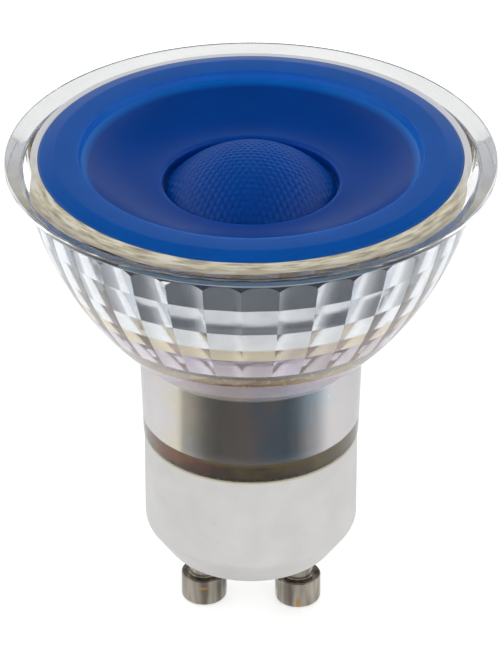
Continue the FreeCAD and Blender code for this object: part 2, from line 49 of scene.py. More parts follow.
PIN_HEAD_TOP_ROUND = 0.22
PIN_SHANK_R = 1.6
PIN_SHANK_FOOT_ROUND = 0.12
PIN_RIVET_ROUND = 0.1
PIN_STEPS = 144
NICKEL = (172, 165, 153)
# Dark of the painted reflection streaks on the pins
NICKEL_PAINTED_REFLECTION = (112, 106, 98)
NICKEL_ROUGHNESS = (0.12, 0.14)
BRASS = (176, 134, 62)
# Middle and half size of the mark on each pin where the brass shows
PIN_WEAR = {"contact_pin_left": ((-4.9, -2.35, 2.3), (0.75, 0.6, 0.2)),
            "contact_pin_right": ((5.15, -2.35, 0.75), (0.28, 0.6, 0.8))}


def in_mm(box):
    """The low and the high corner of a box, from metres to millimetres."""
    return [np.array(corner) / MM for corner in box]


def paint(red, green, blue):
    """Colour for a shader from 0 to 255 screen values: the screen curve is undone with a power of 2.4."""
    screen = np.array((red, green, blue)) / 255
    plain = np.where(screen <= 0.04045, screen / 12.92, ((screen + 0.055) / 1.055) ** 2.4)
    return (*plain.tolist(), 1.0)


def corner_round(before, corner, after, radius, bites=7):
    """Rounded corner of a profile: an arc about the point on the corner's middle line that is
    radius / sin(half angle) away, swung between the two places where it touches the legs."""
    before, corner, after = (np.array(point, float) for point in (before, corner, after))
    back = (before - corner) / np.linalg.norm(before - corner)
    on = (after - corner) / np.linalg.norm(after - corner)
    half_angle = np.arccos(np.clip(back @ on, -1, 1)) / 2
    middle = (back + on) / np.linalg.norm(back + on)
    side = on - (on @ middle) * middle
    side /= np.linalg.norm(side)
    swing = np.linspace(-1, 1, bites)[:, None] * (np.pi / 2 - half_angle)
    centre = corner + middle * radius / np.sin(half_angle)
    return centre + radius * (np.sin(swing) * side - np.cos(swing) * middle)


def rounded_path(corners, rounds):
    """Open profile through the corners, with each corner between the two ends rounded."""
    inner = [corner_round(*corners[at - 1:at + 2], radius) for at, radius in enumerate(rounds, start=1)]
    return np.vstack([corners[:1], *inner, corners[-1:]])


def turned_grid(profile, steps=240):
    """Turned surface: profile point (r, z) at turn t lies at (r cos t, r sin t, z)."""
    turn = np.linspace(0, 2 * np.pi, steps, endpoint=False)
    radius, height = profile[:, :1], profile[:, 1:]
    return np.stack([radius * np.cos(turn), radius * np.sin(turn), height + 0 * turn], axis=-1)


def skin(name, grid, ring=False):
    """Mesh over a grid of millimetre points (rows, steps), joined round the steps. A ring also joins
    its last row to its first; otherwise the first and last rows are single points on the axis."""
    rows, steps = grid.shape[:2]
    points = grid.reshape(-1, 3)
    index = np.arange(rows * steps).reshape(rows, steps)
    if not ring:
        index[0] = 0
        index[-1] = (rows - 1) * steps
    beside = np.roll(index, -1, axis=1)
    last = rows if ring else rows - 1
    corners = (index, beside, np.roll(beside, -1, axis=0), np.roll(index, -1, axis=0))
    quads = np.stack(corners, axis=-1)[:last]
    if ring:
        faces = quads.reshape(-1, 4).tolist()
    else:
        used, packed = np.unique(quads, return_inverse=True)
        points = points[used]
        quads = packed.reshape(last, steps, 4)
        faces = (quads[0][:, [0, 2, 3]].tolist() + quads[1:-1].reshape(-1, 4).tolist()
                 + quads[-1][:, [0, 1, 2]].tolist())
    mesh = bpy.data.meshes.new(name)
    mesh.from_pydata((points * MM).tolist(), [], faces)
    mesh.polygons.foreach_set("use_smooth", np.ones(last * steps, bool))
    mesh.set_sharp_from_angle(angle=np.radians(SHARP_ANGLE))
    piece = bpy.data.objects.new(name, mesh)
    bpy.context.scene.collection.objects.link(piece)
    return piece


def fit(piece, finish, slot, *nodes):
    """Give a new piece its finish, stand it for its nodes, and let it ride the lamp; the slot is not used."""
    piece.data.materials.append(finish)
    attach(piece, "root")
    if nodes:
        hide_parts(*nodes)


def new_finish(name, **constants):
    """A material whose constants sit on the shader's own sockets; gives back (material, tree, shader)."""
    finish = bpy.data.materials.new(name)
    finish.use_nodes = True
    shader = finish.node_tree.nodes["Principled BSDF"]
    for socket, value in constants.items():
        shader.inputs[socket.replace("_", " ")].default_value = value
    return finish, finish.node_tree, shader


def node(tree, kind, inputs=None, **settings):
    """One shader node; its inputs are linked from sockets or set to plain values."""
    made = tree.nodes.new("ShaderNode" + kind)
    for key, value in settings.items():
        setattr(made, key, value)
    for key, value in (inputs or {}).items():
        entry = next(socket for socket in made.inputs if key in (socket.identifier, socket.name))
        if isinstance(value, bpy.types.NodeSocket):
            tree.links.new(value, entry)
        else:
            entry.default_value = value
    return made


def coords(tree, location=(0, 0, 0), scale=(1, 1, 1)):
    """Object coordinates in millimetres, moved by minus the location and divided by the scale."""
    source = node(tree, "TexCoord").outputs["Object"]
    metres = {"Location": [MM * part for part in location], "Scale": [MM * part for part in scale]}
    return node(tree, "Mapping", {"Vector": source, **metres}, vector_type="TEXTURE").outputs["Vector"]


def noise(tree, size, detail=4, **place):
    """Cloudy noise between 0 and 1, with clouds of about the size in millimetres."""
    vector = coords(tree, **place)
    return node(tree, "TexNoise", {"Vector": vector, "Scale": 1 / size, "Detail": detail}).outputs["Fac"]


def ramp(tree, share, *stops):
    """Colour or grey by a share; a stop is (share, colour)."""
    made = node(tree, "ValToRGB", {"Fac": share})
    points = made.color_ramp.elements
    while len(points) < len(stops):
        points.new(1)
    for point, (at, colour) in zip(points, stops):
        point.position = at
        point.color = colour
    return made.outputs["Color"]


def two_tone(tree, share, dark, light, low=0.35, high=0.65):
    """Colour that goes from dark to light, both screen values, as the share goes from low to high."""
    return ramp(tree, share, (low, paint(*dark)), (high, paint(*light)))


def grey(level):
    """Grey for a shader: the same level in each channel."""
    return (level, level, level, 1)


def window(tree, share, low, high):
    """Share rescaled to run from 0 at low to 1 at high, and held there."""
    return node(tree, "MapRange", {"Value": share, "From Min": low, "From Max": high}).outputs["Result"]


def sums(tree, operation, *terms):
    """Plain arithmetic on shares."""
    inputs = {f"Value{'' if at == 0 else f'_{at:03d}'}": term for at, term in enumerate(terms)}
    return node(tree, "Math", inputs, operation=operation).outputs["Value"]


def mixed(tree, share, first, second, blend="MIX"):
    """The first colour, with the second over it by a share."""
    inputs = {"Factor_Float": share, "A_Color": first, "B_Color": second}
    return node(tree, "Mix", inputs, data_type="RGBA", blend_type=blend).outputs[2]


def relief(tree, shader, height, depth, strength=1.0):
    """Surface relief of a depth in millimetres from a height between 0 and 1."""
    inputs = {"Height": height, "Distance": depth * MM, "Strength": strength}
    tree.links.new(node(tree, "Bump", inputs).outputs["Normal"], shader.inputs["Normal"])


def spot(tree, centre, radii):
    """Share that is 1 at the centre of an ellipsoid and falls to 0 at its skin."""
    vector = coords(tree, centre, radii)
    return node(tree, "TexGradient", {"Vector": vector}, gradient_type="SPHERICAL").outputs["Fac"]


def along(tree, axis):
    """Place along one axis of the lamp in millimetres."""
    return node(tree, "SeparateXYZ", {"Vector": coords(tree)}).outputs[axis]


def height_share(tree, low, high):
    """Share that goes from 0 to 1 between two heights above the pin ends."""
    return window(tree, along(tree, "Z"), low, high)


def nickel_finish(name, worn_at, worn_size):
    """Satin plating with turning lines, a painted reflection of dark and light upright streaks in clouds, and
    one mark where the brass shows.
    """
    finish, tree, shader = new_finish(name, Metallic=1.0)
    # Painted reflection: clouds drawn out upright give the pins dark and light vertical streaks, as of a
    # mirrored room.
    clouds = noise(tree, 1.0, detail=2, scale=(1, 1, 9))
    colour = two_tone(tree, clouds, NICKEL_PAINTED_REFLECTION, NICKEL)
    mark = window(tree, spot(tree, worn_at, worn_size), 0.0, 0.35)
    rub = window(tree, noise(tree, 0.18), 0.3, 0.5)
    colour = mixed(tree, sums(tree, "MULTIPLY", mark, rub), colour, paint(*BRASS))
    tree.links.new(colour, shader.inputs["Base Color"])
    lines = noise(tree, 1.0, detail=2, scale=(6, 6, 0.09))
    smoothest, spread = NICKEL_ROUGHNESS
    tree.links.new(sums(tree, "MULTIPLY_ADD", lines, spread, smoothest), shader.inputs["Roughness"])
    relief(tree, shader, lines, 0.005)
    return finish


for pin_node, worn in PIN_WEAR.items():
    low, high = in_mm(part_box(pin_node))
    pin_x = (low[0] + high[0]) / 2
    head_r = (high[0] - low[0]) / 2
    stud = rounded_path([(0, 0), (head_r, 0), (head_r, PIN_HEAD_H), (PIN_SHANK_R, PIN_HEAD_H),
                         (PIN_SHANK_R, high[2]), (0, high[2])],
                        [PIN_HEAD_FOOT_ROUND, PIN_HEAD_TOP_ROUND, PIN_SHANK_FOOT_ROUND, PIN_RIVET_ROUND])
    stud_grid = turned_grid(stud, PIN_STEPS) + (pin_x, 0, 0)
    stud_finish = nickel_finish(f"satin_nickel_{pin_node}", *worn)
    fit(skin(f"{pin_node}_stud", stud_grid), stud_finish, "nickel", pin_node)

# Base cap: one white steatite casting with a bevelled foot, fired and left unglazed.
# The pins are riveted through its floor, and its spigot is cemented into the neck of the glass.
CAP_BEVEL_W = 2.4
CAP_BEVEL_H = 3.4
CAP_FLOOR = 3.0
CAP_BORE_R = 7.9
CAP_FOOT_ROUND = 1.3
CAP_BEVEL_ROUND = 1.4
CAP_TOP_ROUND = 0.25
CAP_FLOOR_ROUND = 0.3
SPIGOT_R = 9.3
SPIGOT_FOOT_ROUND = 0.1
SPIGOT_EDGE_ROUND = 0.2
STAIN_H = 0.35
CERAMIC = (240, 239, 237)
CERAMIC_SHADE = (233, 232, 230)
CERAMIC_STAIN = (214, 196, 132)

cap_low, cap_high = in_mm(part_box("base_cap"))
glass_low, glass_high = in_mm(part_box("glass_reflector"))
cap_r = cap_high[0]
z_cap = cap_low[2]
z_neck = glass_low[2]
z_spigot = cap_high[2]
cap_profile = rounded_path(
    [(0, z_cap), (cap_r - CAP_BEVEL_W, z_cap), (cap_r, z_cap + CAP_BEVEL_H), (cap_r, z_neck),
     (SPIGOT_R, z_neck), (SPIGOT_R, z_spigot), (CAP_BORE_R, z_spigot),
     (CAP_BORE_R, z_cap + CAP_FLOOR), (0, z_cap + CAP_FLOOR)],
    [CAP_FOOT_ROUND, CAP_BEVEL_ROUND, CAP_TOP_ROUND, SPIGOT_FOOT_ROUND, SPIGOT_EDGE_ROUND, SPIGOT_EDGE_ROUND,
     CAP_FLOOR_ROUND])
finish, tree, shader = new_finish("fired_ceramic", Roughness=0.42, Specular_IOR_Level=0.4)
clouds = two_tone(tree, noise(tree, 3.5), CERAMIC_SHADE, CERAMIC)
pits = window(tree, noise(tree, 0.35, detail=2), 0.72, 0.78)
colour = mixed(tree, sums(tree, "MULTIPLY", pits, 0.35), clouds, paint(*CERAMIC_STAIN))
stain = window(tree, height_share(tree, z_neck - STAIN_H, z_neck), 0.2, 1.0)
colour = mixed(tree, sums(tree, "MULTIPLY", stain, 0.75), colour, paint(*CERAMIC_STAIN))
tree.links.new(colour, shader.inputs["Base Color"])
relief(tree, shader, noise(tree, 0.5, detail=6), 0.008)
fit(skin("ceramic_cap", turned_grid(cap_profile)), finish, "white_ceramic", "base_cap")

# Driver: a small circuit board that stands on the floor of the cap, with its parts soldered to both faces.
# Two leads join it to the pins and two more run up to the light source; all of it is hidden once cemented.
GREEN_MASK = (28, 92, 58)
GREEN_COPPER = (46, 118, 70)


def dress(node_name, finish):
    """Give a CAD node its finish."""
    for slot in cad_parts[node_name].material_slots:
        slot.material = finish


def clouded(name, dark, light, size, depth, **constants):
    """A finish of two close colours in clouds of a size, with relief to match."""
    finish, tree, shader = new_finish(name, **constants)
    tree.links.new(two_tone(tree, noise(tree, size), dark, light), shader.inputs["Base Color"])
    relief(tree, shader, noise(tree, size / 3), depth)
    return finish


dress("driver_board", clouded("solder_mask", GREEN_MASK, GREEN_COPPER, 0.9, 0.02, Roughness=0.35))
dress("bulk_capacitor", clouded("shrink_sleeve", (24, 24, 28), (40, 40, 46), 1.2, 0.02, Roughness=0.38))
dress("choke", clouded("ferrite_drum", (52, 50, 50), (74, 70, 68), 0.5, 0.03, Roughness=0.6))
dress("film_capacitor", clouded("ochre_dip", (170, 104, 30), (196, 128, 44), 1.4, 0.04, Roughness=0.3))
dress("fusible_resistor", clouded("green_lacquer", (62, 98, 74), (88, 128, 98), 0.8, 0.02, Roughness=0.4))
moulding = clouded("black_mould", (20, 20, 21), (34, 34, 35), 0.3, 0.02, Roughness=0.55)
for chip in ("bridge_rectifier", "driver_chip"):
    dress(chip, moulding)
for lead, dark, light in (("mains_lead_left", (206, 204, 198), (226, 224, 218)),
                          ("mains_lead_right", (206, 204, 198), (226, 224, 218)),
                          ("led_lead_positive", (150, 26, 24), (176, 40, 34)),
                          ("led_lead_negative", (26, 26, 28), (42, 42, 44))):
    dress(lead, clouded(f"lead_sleeve_{lead}", dark, light, 0.6, 0.015, Roughness=0.45))

# Glass reflector: one pressing of clear glass with a straight neck, a bowl on one arc and a flared rim.
# The inside of the bowl is pressed into facets, five rows of thirty-six, each slightly crowned across,
# and the top row meets the round mouth in scallops.
NECK_FOOT_R = 11.25
NECK_TOP_R = 11.6
NECK_BORE_R = 10.0
NECK_FOOT_ROUND = 0.4
NECK_TOP_ROUND = 0.6
Z_BOWL = 31.6
BOWL_R = 23.12
BOWL_ARC = 35.4
BOWL_WALL = 1.6
Z_FLARE = 51.8
FLARE_ROUND = 0.5
RIM_H = 0.7
RIM_FOOT_ROUND = 0.3
RIM_TOP_ROUND = 0.25
SEAT_R = 22.2
SEAT_DEPTH = 1.0
SEAT_EDGE_ROUND = 0.12
SEAT_FOOT_ROUND = 0.1
MOUTH_R = 21.2
FACETS = 36
FACET_STEPS = 10
FACET_COLUMNS = FACETS * FACET_STEPS
ROW_STEPS = 6
FACET_CROWN = 0.12
FACET_PILLOW = 0.01
Z_FACETS = np.array((51.0, 48.1, 44.8, 42.35, 40.7, 37.8))
Z_LEDGE = 35.7
LEDGE_OUT_R = 13.75
LEDGE_IN_R = 12.75
FACET_FOOT_STEP = 0.3
GLASS_TINT = (0.985, 0.995, 0.99, 1)

rim_r = glass_high[0]
z_rim_top = glass_high[2]
z_rim_foot = z_rim_top - RIM_H
z_seat = z_rim_top - SEAT_DEPTH


def bow(start, end, radius, share):
    """Points at shares of the way round an arc that bows to the right of the line from start to end."""
    start, end = np.array(start), np.array(end)
    chord = end - start
    length = np.linalg.norm(chord)
    left = np.array((-chord[1], chord[0])) / length
    centre = (start + end) / 2 + left * np.sqrt(radius ** 2 - length ** 2 / 4)
    first, last = (np.arctan2(*(point - centre)[::-1]) for point in (start, end))
    turn = first + (np.unwrap((first, last))[1] - first) * np.asarray(share)
    return centre + radius * np.stack([np.cos(turn), np.sin(turn)], axis=-1)


def facet_corners(heights):
    """Radius of the facet corners: where an arc inside the bowl's own, one wall nearer, has each height."""
    foot, top = np.array((NECK_TOP_R, Z_BOWL)), np.array((BOWL_R, Z_FLARE))
    chord = top - foot
    inward = np.array((-chord[1], chord[0])) / np.linalg.norm(chord)
    centre = (foot + top) / 2 + inward * np.sqrt(BOWL_ARC ** 2 - chord @ chord / 4)
    return centre[0] + np.sqrt((BOWL_ARC - BOWL_WALL) ** 2 - (centre[1] - heights) ** 2)


def facet_grid(inset=0.0):
    """Faceted wall from its scalloped top down. At turn t the radius is the corner radius times
    cos(half a facet) / cos(t from the facet's middle), less a crown of (1 - u^2) across each facet and
    a pillow of (1 - u^2)(1 - v^2) over it; the top row runs on up until it meets the mouth."""
    turn = np.linspace(0, 2 * np.pi, FACET_COLUMNS, endpoint=False)
    half_facet = np.pi / FACETS
    from_middle = np.mod(turn, 2 * half_facet) - half_facet
    polygon = np.cos(half_facet) / np.cos(from_middle)
    corners = facet_corners(Z_FACETS)
    lean = (corners[0] - corners[1]) / (Z_FACETS[0] - Z_FACETS[1])
    across = 1 - (from_middle / half_facet) ** 2
    scallops = Z_FACETS[0] + ((MOUTH_R + FACET_CROWN * across) / polygon - corners[0]) / lean
    share = np.linspace(0, 1, ROW_STEPS, endpoint=False)[:, None]
    tops = [scallops, *Z_FACETS[1:-1]]
    heights = np.vstack([*[top + share * (foot - top) + 0 * turn for top, foot in zip(tops, Z_FACETS[1:])],
                         Z_FACETS[-1] + 0 * turn])
    run = np.interp(heights, Z_FACETS[::-1], corners[::-1]) + lean * np.maximum(heights - Z_FACETS[0], 0)
    down = np.append(np.tile(1 - (2 * share[:, 0] - 1) ** 2, len(Z_FACETS) - 1), 0)[:, None]
    radius = run * polygon - (FACET_CROWN + FACET_PILLOW * down) * across - inset
    return np.stack([radius * np.cos(turn), radius * np.sin(turn), heights], axis=-1)


def crease(piece, rows):
    """Keep the facets crisp: edges along the rows of corners, and between the first and last of them
    along the columns of corners, aren't smoothed over."""
    edges = piece.data.edges
    ends = np.empty(2 * len(edges), np.int32)
    edges.foreach_get("vertices", ends)
    row, column = (part.reshape(-1, 2) for part in np.divmod(ends, FACET_COLUMNS))
    level = (row[:, 0] == row[:, 1]) & np.isin(row[:, 0], rows)
    upright = (column[:, 0] == column[:, 1]) & (column[:, 0] % FACET_STEPS == 0)
    upright &= (row.min(axis=1) >= min(rows)) & (row.max(axis=1) <= max(rows))
    sharp = np.empty(len(edges), bool)
    edges.foreach_get("use_edge_sharp", sharp)
    edges.foreach_set("use_edge_sharp", sharp | level | upright)


bowl_outside = bow((NECK_TOP_R, Z_BOWL), (BOWL_R, Z_FLARE), BOWL_ARC, np.linspace(0.04, 0.98, 40))
outside = np.vstack([
    corner_round((NECK_BORE_R, z_neck), (NECK_FOOT_R, z_neck), (NECK_TOP_R, Z_BOWL), NECK_FOOT_ROUND),
    corner_round((NECK_FOOT_R, z_neck), (NECK_TOP_R, Z_BOWL), bowl_outside[0], NECK_TOP_ROUND),
    bowl_outside,
    corner_round(bowl_outside[-1], (BOWL_R, Z_FLARE), (rim_r, z_rim_foot), FLARE_ROUND),
    corner_round((BOWL_R, Z_FLARE), (rim_r, z_rim_foot), (rim_r, z_rim_top), RIM_FOOT_ROUND),
    corner_round((rim_r, z_rim_foot), (rim_r, z_rim_top), (SEAT_R, z_rim_top), RIM_TOP_ROUND),
    corner_round((rim_r, z_rim_top), (SEAT_R, z_rim_top), (SEAT_R, z_seat), SEAT_EDGE_ROUND),
    corner_round((SEAT_R, z_rim_top), (SEAT_R, z_seat), (MOUTH_R, z_seat), SEAT_FOOT_ROUND),
    corner_round((SEAT_R, z_seat), (MOUTH_R, z_seat), (MOUTH_R, z_seat - 1), SEAT_FOOT_ROUND),
])
foot_r = facet_corners(Z_FACETS[-1]) - FACET_FOOT_STEP
inside = np.array([(foot_r, Z_FACETS[-1]), (LEDGE_OUT_R, Z_LEDGE), (LEDGE_IN_R, Z_LEDGE),
                   (NECK_BORE_R, Z_BOWL), (NECK_BORE_R, z_neck)])
glass_grid = np.vstack([turned_grid(outside, FACET_COLUMNS), facet_grid(),
                        turned_grid(inside, FACET_COLUMNS)])
glass = skin("pressed_glass", glass_grid, ring=True)
crease(glass, len(outside) + ROW_STEPS * np.arange(len(Z_FACETS)))
finish, tree, shader = new_finish("clear_pressed_glass", Base_Color=GLASS_TINT, Roughness=0.01,
                                  IOR=1.5, Transmission_Weight=1.0)
ripple = noise(tree, 2.4, detail=1)
streak = noise(tree, 1.0, detail=2, scale=(6, 6, 0.7))
relief(tree, shader, sums(tree, "MULTIPLY_ADD", streak, 0.35, ripple), 0.008)
fit(glass, finish, "clear_glass", "glass_reflector")

# Mirror coat: a film of aluminium evaporated on the inside of the glass, over the facets and down the neck.
# Low in the bowl it has a painted reflection in gold and lavender, and it stays clear of the mouth and of the
# cemented foot.
# It lies a hair inside the glass, so that no air shows between the two.
COAT_SINK = 0.02
COAT_T = 0.03
Z_NECK_COAT = 23.2
COAT_SILVER = (230, 233, 238)
# Painted reflection colours of the two lowest facet rows
REFLECTED_GOLD = (214, 202, 174)
REFLECTED_LAVENDER = (214, 206, 224)
REFLECTED_MAUVE = (184, 172, 176)
# Painted reflection tints of the neck coat, in order from left to right
NECK_REFLECTION_PALE = (188, 184, 185)
NECK_REFLECTION_OLIVE = (190, 184, 167)
NECK_REFLECTION_WARM = (208, 193, 180)
NECK_REFLECTION_TEAL = (168, 186, 196)
NECK_PAINTED_SHADE = (150, 138, 152)
TILE_SEED = 5
LOW_ROW_TOP = (0.21, 0.23)
GOLD_ROW_TOP = (0.33, 0.36)
NECK_COAT_ROUND = 0.8

bowl_coat_grid = np.vstack([facet_grid(-COAT_SINK)[::-1], facet_grid(COAT_T - COAT_SINK)])
bowl_coat = skin("bowl_mirror_coat", bowl_coat_grid, ring=True)
crease(bowl_coat, ROW_STEPS * np.arange(len(Z_FACETS)))
tile_tones = np.random.default_rng(TILE_SEED).random((len(Z_FACETS) - 1, FACETS))
face_tones = np.repeat(np.repeat(tile_tones, ROW_STEPS, axis=0), FACET_STEPS, axis=1)
edge_tones = np.zeros((1, FACET_COLUMNS))
tones = np.vstack([face_tones[::-1], edge_tones, face_tones, edge_tones])
bowl_coat.data.attributes.new("tile_tone", "FLOAT", "FACE").data.foreach_set("value", tones.ravel())
finish, tree, shader = new_finish("bowl_mirror", Metallic=0.85, Roughness=0.05)
tile = node(tree, "Attribute", attribute_name="tile_tone").outputs["Fac"]
row_level = height_share(tree, Z_FACETS[-1], Z_FACETS[0])
# Painted reflection: the lowest row shows the cap and neck in lavender and mauve, the next the shaded floor
# in gold, tile by tile at random.
low_row_reflection = mixed(tree, tile, paint(*REFLECTED_LAVENDER), paint(*REFLECTED_MAUVE))
gold_row_reflection = mixed(tree, sums(tree, "MULTIPLY", tile, 0.5), paint(*REFLECTED_GOLD), paint(*REFLECTED_MAUVE))
low_edge = window(tree, row_level, *LOW_ROW_TOP)
high_edge = window(tree, row_level, *GOLD_ROW_TOP)
tone = mixed(tree, high_edge, mixed(tree, low_edge, low_row_reflection, gold_row_reflection), paint(*COAT_SILVER))
haze = ramp(tree, noise(tree, 1.8), (0.3, grey(0.9)), (0.6, grey(1.0)))
tree.links.new(mixed(tree, 1.0, tone, haze, "MULTIPLY"), shader.inputs["Base Color"])
relief(tree, shader, noise(tree, 1.4, detail=1), 0.002)
fit(bowl_coat, finish, "aluminium")

neck_line = np.array([(NECK_BORE_R, Z_NECK_COAT), (NECK_BORE_R, Z_BOWL), (LEDGE_IN_R, Z_LEDGE)])
neck_fine = np.vstack([neck_line[0], corner_round(*neck_line, NECK_COAT_ROUND), neck_line[2]])
neck_fine += (COAT_SINK, 0)
neck_profile = np.vstack([neck_fine, (neck_fine - (COAT_T, 0))[::-1]])
finish, tree, shader = new_finish("neck_mirror", Metallic=0.9, Roughness=0.08)
# Painted reflection: across the neck from left to right the tint runs pale, olive, warm, teal and pale again,
# broken up by clouds.
from_left = window(tree, along(tree, "X"), -10.5, 10.5)
sheen = sums(tree, "MULTIPLY_ADD", noise(tree, 4.0, detail=2), 0.7, from_left)
painted_light_tint = ramp(tree, sums(tree, "SUBTRACT", sheen, 0.35), (0.05, paint(*NECK_REFLECTION_PALE)), (0.26, paint(*NECK_REFLECTION_OLIVE)),
            (0.5, paint(*NECK_REFLECTION_WARM)), (0.68, paint(*NECK_REFLECTION_TEAL)), (0.82, paint(*NECK_REFLECTION_PALE)))
# Painted shade: the coat turns darker where the neck curves out under the bowl's ledge.
under_bowl = height_share(tree, Z_BOWL - 0.6, Z_BOWL + 0.8)
painted_light_tint = mixed(tree, under_bowl, painted_light_tint, paint(*NECK_PAINTED_SHADE))
scratch = window(tree, noise(tree, 0.25, detail=2, scale=(1, 1, 3)), 0.74, 0.78)
tree.links.new(mixed(tree, scratch, painted_light_tint, paint(*COAT_SILVER)), shader.inputs["Base Color"])
relief(tree, shader, noise(tree, 2.4, detail=2), 0.009)
fit(skin("neck_mirror_coat", turned_grid(neck_profile), ring=True), finish, "aluminium")

# Neck cement: brown lamp cement run into the gap between the cap's spigot and the neck, then baked hard.
# It wets the glass, and shows through its foot as a brown band with an uneven top.
CEMENT = (134, 72, 24)
CEMENT_DARK = (56, 36, 10)
CEMENT_OLIVE = (104, 88, 36)
CEMENT_IN_R = 9.34
CEMENT_ROUNDS = (0.05, 0.05, 0.15, 0.15)
CEMENT_RISE = 0.12
CEMENT_SEED = 1.7

cement_low, cement_high = in_mm(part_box("neck_cement"))
cement_r = NECK_BORE_R + COAT_SINK
cement_foot, cement_top = cement_low[2], cement_high[2]


def wander(turn, seed):
    """Unevenness of a bead laid by hand: three sine waves round the turn, each faster and lower."""
    return (0.5 * np.sin(3 * turn + seed) + 0.3 * np.sin(7 * turn + 2.1 * seed)
            + 0.2 * np.sin(16 * turn + 3.7 * seed))


def rounded_ring(corners, rounds):
    """Closed profile through the corners, each of them rounded."""
    after = corners[1:] + corners[:1]
    return np.vstack([corner_round(corners[at - 1], corners[at], after[at], radius)
                      for at, radius in enumerate(rounds)])


def uneven_grid(profile, top_from, rise, seed, steps=360):
    """Turned ring whose points above a height are lifted or lowered by the wander, times the rise."""
    grid = turned_grid(profile, steps)
    turn = np.linspace(0, 2 * np.pi, steps, endpoint=False)
    grid[..., 2] += (profile[:, 1:] > top_from) * rise * wander(turn, seed)
    return grid


cement_ring = [(CEMENT_IN_R, cement_foot), (cement_r, cement_foot), (cement_r, cement_top),
               (CEMENT_IN_R, cement_top)]
cement_profile = rounded_ring(cement_ring, CEMENT_ROUNDS)
cement_grid = uneven_grid(cement_profile, cement_top - 0.2, CEMENT_RISE, CEMENT_SEED)
finish, tree, shader = new_finish("lamp_cement", Roughness=0.55, Specular_IOR_Level=0.0)
from_left = window(tree, along(tree, "X"), -7.0, 7.0)
browns = sums(tree, "MULTIPLY_ADD", noise(tree, 2.6), 0.7, sums(tree, "MULTIPLY", from_left, 0.45))
clouds = ramp(tree, browns, (0.3, paint(*CEMENT)), (0.55, paint(*CEMENT_DARK)), (0.85, paint(*CEMENT_OLIVE)))
top_line = height_share(tree, cement_top - 0.45, cement_top - 0.25)
clouds = mixed(tree, sums(tree, "MULTIPLY", top_line, 0.8), clouds, paint(*CEMENT_OLIVE))
tree.links.new(clouds, shader.inputs["Base Color"])
relief(tree, shader, noise(tree, 0.4), 0.06)
fit(skin("cement_band", cement_grid, ring=True), finish, "brown_cement", "neck_cement")

# Heat sink: a plate pressed from aluminium, resting on the ledge of the bowl, its skirt hanging in the neck.
# It carries the light source and draws its heat down towards the cap.
ALUMINIUM = (214, 216, 218)
ALUMINIUM_SHADE = (186, 188, 190)

finish, tree, shader = new_finish("pressed_aluminium", Metallic=1.0, Roughness=0.35)
grain = noise(tree, 0.5, detail=6, scale=(0.3, 3, 3))
tree.links.new(two_tone(tree, grain, ALUMINIUM_SHADE, ALUMINIUM, 0.3, 0.7), shader.inputs["Base Color"])
relief(tree, shader, grain, 0.01)
dress("heat_sink", finish)

# Plate bond: a bead of amber silicone pressed round the edge of the plate, which glues it to the glass.
# It wets the glass below the facets, and seen from outside makes a gold band with bright specks of air.
BOND_AMBER = (138, 104, 58)
BOND_HONEY = (190, 156, 92)
BOND_SPECK = (246, 238, 190)
PLATE_BOND_W = 0.5
PLATE_BOND_SLOPE = 0.25
PLATE_BOND_ROUNDS = (0.05, 0.02, 0.1, 0.15)
PLATE_BOND_RISE = 0.15
PLATE_BOND_SEED = 0.6

plate_bond_r, _, z_plate_bond = in_mm(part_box("plate_bond"))[1]
plate_bond_in_r = plate_bond_r - PLATE_BOND_W
z_bond_edge = z_plate_bond - PLATE_BOND_SLOPE
bond_wall = np.interp(z_bond_edge, [Z_LEDGE, Z_FACETS[-1]], [LEDGE_OUT_R, foot_r])
plate_bond_ring = [(plate_bond_in_r, Z_LEDGE - COAT_SINK), (LEDGE_OUT_R + COAT_SINK, Z_LEDGE - COAT_SINK),
                   (bond_wall + COAT_SINK, z_bond_edge), (plate_bond_in_r, z_plate_bond)]
plate_bond_profile = rounded_ring(plate_bond_ring, PLATE_BOND_ROUNDS)
finish, tree, shader = new_finish("amber_silicone", Roughness=0.3)
clouds = two_tone(tree, noise(tree, 2.2), BOND_AMBER, BOND_HONEY)
specks = window(tree, noise(tree, 0.3, detail=2), 0.64, 0.7)
tree.links.new(mixed(tree, specks, clouds, paint(*BOND_SPECK)), shader.inputs["Base Color"])
relief(tree, shader, noise(tree, 0.5), 0.08)
plate_bond_grid = uneven_grid(plate_bond_profile, z_plate_bond - 0.5, PLATE_BOND_RISE, PLATE_BOND_SEED)
fit(skin("amber_bead", plate_bond_grid, ring=True), finish, "amber_silicone", "plate_bond")

# Light source: a round metal-core board with one white package, whose yellow phosphor fills a round pocket.
# It is stuck flat on the heat sink with heat paste, right under the lens, and its leads are soldered to it.
dress("led_board", clouded("white_mask", (222, 224, 222), (238, 239, 236), 0.8, 0.02, Roughness=0.4))
dress("led_package", clouded("white_package", (226, 226, 222), (242, 241, 238), 0.4, 0.01, Roughness=0.45))
dress("led_phosphor", clouded("phosphor_gel", (222, 178, 42), (240, 204, 74), 0.3, 0.02, Roughness=0.3))

